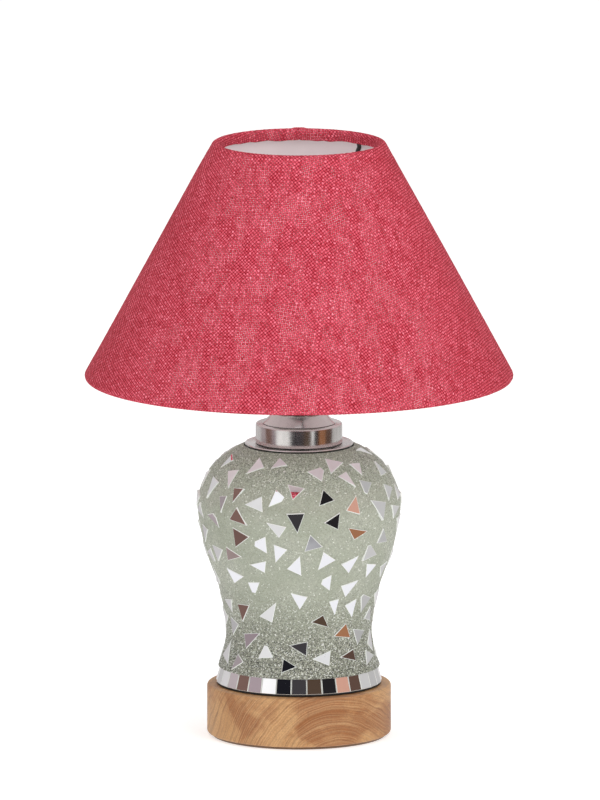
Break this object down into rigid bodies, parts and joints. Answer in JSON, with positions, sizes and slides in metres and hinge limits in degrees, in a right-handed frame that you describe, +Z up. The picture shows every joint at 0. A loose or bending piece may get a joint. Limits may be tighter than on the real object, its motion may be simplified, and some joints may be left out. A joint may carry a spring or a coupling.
{
  "type": "table lamp",
  "caption": "Table lamp with a round wooden base, a waisted glass vase covered in mirror mosaic, a steel collar and a conical woven shade.",
  "frame": {"origin": "centre of the felt face under the base", "axes": "+Z up along the lamp's axis, -Y the front, +Y the back, where the cord leaves the base"},
  "size_m": [0.3032, 0.3976, 0.4261],
  "materials": {
    "felt": "black felt",
    "wood": "satin lacquered mango wood",
    "black_rubber": "matt",
    "zinc": "zinc plated",
    "clear_glass": "blown clear glass",
    "mosaic": "grey-green crushed glass grout set with triangular mirror chips",
    "mirror": "square mirror tiles",
    "steel": "brushed",
    "black_phenolic": "satin moulding",
    "porcelain": "glazed porcelain",
    "brass": "stamped",
    "brown_insulation": "wire insulation",
    "blue_insulation": "wire insulation",
    "opal_glass": "opal",
    "nickel": "nickel plated",
    "fibre": "pressed fibre",
    "black_wire": "black lacquered wire",
    "white_lining": "white lining sheet",
    "red_jute": "coarse plain weave",
    "black_cord": "round flexible cord"
  },
  "bodies": {
    "lamp": {"felt_pad": "felt", "wood_base": "wood", "cord_grommet": "black_rubber", "base_washer": "zinc", "base_nut": "zinc", "threaded_tube": "zinc", "foot_gasket": "black_rubber", "glass_vase": "clear_glass", "mosaic_skin": "mosaic", "mirror_tile_band": "mirror", "neck_gasket": "black_rubber", "cap_flange": "steel", "collar_cup": "steel", "collar_cone": "steel", "top_washer": "zinc", "top_nut": "zinc", "lampholder_cap": "nickel", "lampholder_body": "black_phenolic", "lampholder_insert": "porcelain", "lampholder_screw_shell": "brass", "centre_contact": "brass", "live_terminal_screw": "brass", "neutral_terminal_screw": "brass", "live_wire": "brown_insulation", "neutral_wire": "blue_insulation", "cord_lamp_side": "black_cord", "switch_base": "black_phenolic", "switch_cover": "black_phenolic", "switch_contact_bar": "brass", "switch_screw": "zinc", "cord_plug_side": "black_cord", "plug_body": "black_phenolic", "plug_pin_left": "nickel", "plug_pin_right": "nickel"},
    "shade_carrier": {"shade_washer": "fibre"},
    "shade": {"shade_frame": "black_wire", "shade_bottom_ring": "black_wire", "shade_lining": "white_lining", "shade_fabric": "red_jute"},
    "ring": {"shade_ring": "black_phenolic"},
    "bulb_carrier": {"bulb_tip_contact": "nickel"},
    "bulb": {"bulb_envelope": "opal_glass", "bulb_screw_cap": "nickel", "bulb_insulator": "black_phenolic", "bulb_filament": "nickel"},
    "rocker": {"switch_rocker": "black_phenolic"}
  },
  "joints": [
    {"name": "shade_lift", "type": "slide", "parent": "lamp", "child": "shade_carrier", "axis": [0, 0, 1], "range_m": [0, 0.12]},
    {"name": "shade_turn", "type": "hinge", "parent": "shade_carrier", "child": "shade", "pos_m": [0, 0, 0.271], "axis": [0, 0, 1], "continuous": true},
    {"name": "shade_ring_turn", "type": "hinge", "parent": "shade_carrier", "child": "ring", "pos_m": [0, 0, 0.2729], "axis": [0, 0, 1], "range_deg": [0, 2700]},
    {"name": "bulb_rise", "type": "slide", "parent": "lamp", "child": "bulb_carrier", "axis": [0, 0, 1], "range_m": [0, 0.01633]},
    {"name": "bulb_turn", "type": "hinge", "parent": "bulb_carrier", "child": "bulb", "pos_m": [0, 0, 0.2669], "axis": [0, 0, 1], "range_deg": [0, 1620]},
    {"name": "switch_rocker_tilt", "type": "hinge", "parent": "lamp", "child": "rocker", "pos_m": [0, 0.1, 0.012], "axis": [0, 1, 0], "range_deg": [0, 16]}
  ],
  "couplings": [
    {"joint": "bulb_turn", "follows": "bulb_rise", "rad_per_m": 1731}
  ]
}
